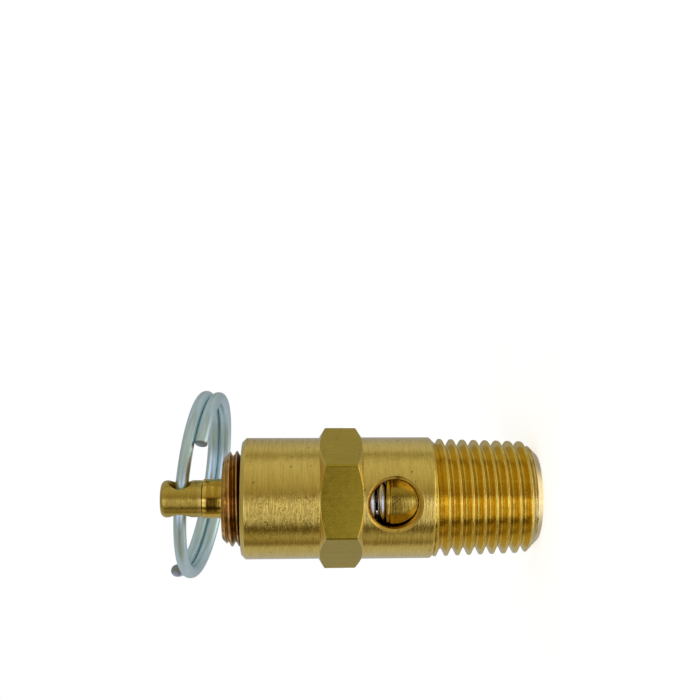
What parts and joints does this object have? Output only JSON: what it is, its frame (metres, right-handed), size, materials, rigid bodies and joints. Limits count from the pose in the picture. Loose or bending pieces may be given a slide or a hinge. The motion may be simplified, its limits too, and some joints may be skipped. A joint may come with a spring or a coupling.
{
  "type": "pressure relief valve",
  "caption": "Spring-loaded brass pressure relief valve with taper-threaded inlet, hexagon, side discharge ports, adjusting screw and a split pull ring through its lift stem.",
  "frame": {"origin": "centre of the inlet end face", "axes": "+Z along the valve's axis from the inlet towards the lift stem; the two discharge ports face -Y and +Y; the pull ring lies towards +Y"},
  "size_m": [0.0228, 0.0293, 0.043],
  "materials": {
    "body_brass": "fine turned, slightly satin",
    "screw_brass": "turned, darkened in the thread",
    "stem_brass": "turned",
    "disc_brass": "turned",
    "spring_steel": "bright drawn wire",
    "seat_steel": "satin",
    "ring_zinc": "blue-white zinc plate",
    "seal_rubber": "matt silicone rubber"
  },
  "bodies": {
    "root": {"valve_body": "body_brass", "main_spring": "spring_steel"},
    "stem": {"lift_stem": "stem_brass", "valve_disc": "disc_brass", "seat_seal": "seal_rubber", "seal_retainer": "disc_brass", "lower_spring_washer": "disc_brass"},
    "ring": {"pull_ring": "ring_zinc"},
    "spring_seat": {"upper_spring_seat": "seat_steel"},
    "set_screw": {"adjusting_screw": "screw_brass"}
  },
  "joints": [
    {"name": "stem_lift", "type": "slide", "parent": "root", "child": "stem", "axis": [0, 0, 1], "range_m": [0, 0.002], "stiffness_N_per_m": 4300, "springref_m": -0.0053, "deforming": ["main_spring"]},
    {"name": "ring_swing", "type": "hinge", "parent": "stem", "child": "ring", "pos_m": [0, 0, 0.04082], "axis": [0.9936, -0.0624, -0.0937], "range_deg": [-54, 248]},
    {"name": "screw_travel", "type": "slide", "parent": "root", "child": "spring_seat", "axis": [0, 0, 1], "range_m": [-0.00042, 0]},
    {"name": "screw_turn", "type": "hinge", "parent": "spring_seat", "child": "set_screw", "pos_m": [0, 0, 0.0328], "axis": [0, 0, 1], "range_deg": [-181, 1]}
  ],
  "couplings": [
    {"joint": "screw_turn", "follows": "screw_travel", "rad_per_m": 7480}
  ]
}
